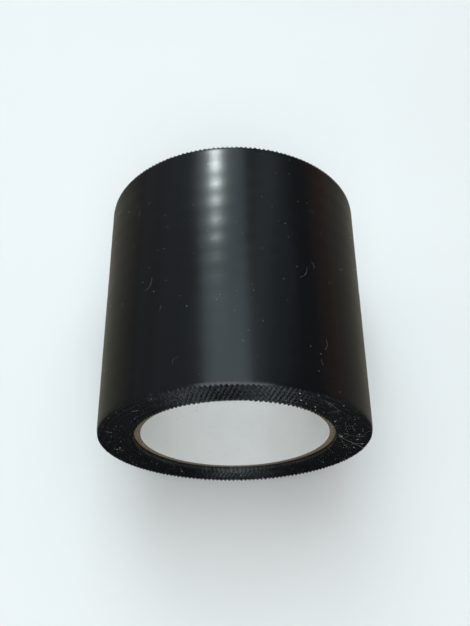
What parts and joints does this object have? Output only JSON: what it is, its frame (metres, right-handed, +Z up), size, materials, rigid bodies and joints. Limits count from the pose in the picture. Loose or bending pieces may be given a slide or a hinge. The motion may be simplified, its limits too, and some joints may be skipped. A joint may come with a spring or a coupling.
{
  "type": "electrical tape roll",
  "caption": "Wide roll of glossy black PVC electrical tape with pinked edges, wound on a white-lined paperboard core; the free end lifts.",
  "frame": {"origin": "on the surface the roll lies on, under the middle of the roll", "axes": "+Z up; Y along the roll's axis, with -Y towards the viewer; X across the roll"},
  "size_m": [0.1064, 0.1016, 0.1065],
  "materials": {
    "tape": "satin-gloss calendered PVC film",
    "board": "cut edge of brown kraft board",
    "liner": "smooth white paper"
  },
  "bodies": {
    "roll": {"tape_windings": "tape", "core_board_ply_1": "board", "core_board_ply_2": "board", "core_board_ply_3": "board", "core_board_ply_4": "board", "core_liner": "liner"},
    "tape_end_1": {"tape_end_1": "tape"},
    "tape_end_2": {"tape_end_2": "tape"},
    "tape_end_3": {"tape_end_3": "tape"},
    "tape_end_4": {"tape_end_4": "tape"},
    "tape_end_5": {"tape_end_5": "tape"},
    "tape_end_6": {"tape_end_6": "tape"}
  },
  "joints": [
    {"name": "peel_1", "type": "hinge", "parent": "roll", "child": "tape_end_1", "pos_m": [0.01472, 0, 0.00192], "axis": [0, 1, 0], "range_deg": [0, 10]},
    {"name": "peel_2", "type": "hinge", "parent": "tape_end_1", "child": "tape_end_2", "pos_m": [0.02341, 0, 0.00525], "axis": [0, 1, 0], "range_deg": [0, 10]},
    {"name": "peel_3", "type": "hinge", "parent": "tape_end_2", "child": "tape_end_3", "pos_m": [0.03139, 0, 0.01005], "axis": [0, 1, 0], "range_deg": [0, 10]},
    {"name": "peel_4", "type": "hinge", "parent": "tape_end_3", "child": "tape_end_4", "pos_m": [0.03841, 0, 0.01616], "axis": [0, 1, 0], "range_deg": [0, 10]},
    {"name": "peel_5", "type": "hinge", "parent": "tape_end_4", "child": "tape_end_5", "pos_m": [0.04427, 0, 0.02339], "axis": [0, 1, 0], "range_deg": [0, 10]},
    {"name": "peel_6", "type": "hinge", "parent": "tape_end_5", "child": "tape_end_6", "pos_m": [0.04878, 0, 0.03153], "axis": [0, 1, 0], "range_deg": [0, 10]}
  ],
  "couplings": [
    {"joint": "peel_2", "follows": "peel_1", "ratio": 1},
    {"joint": "peel_3", "follows": "peel_1", "ratio": 1},
    {"joint": "peel_4", "follows": "peel_1", "ratio": 1},
    {"joint": "peel_5", "follows": "peel_1", "ratio": 1},
    {"joint": "peel_6", "follows": "peel_1", "ratio": 1}
  ]
}
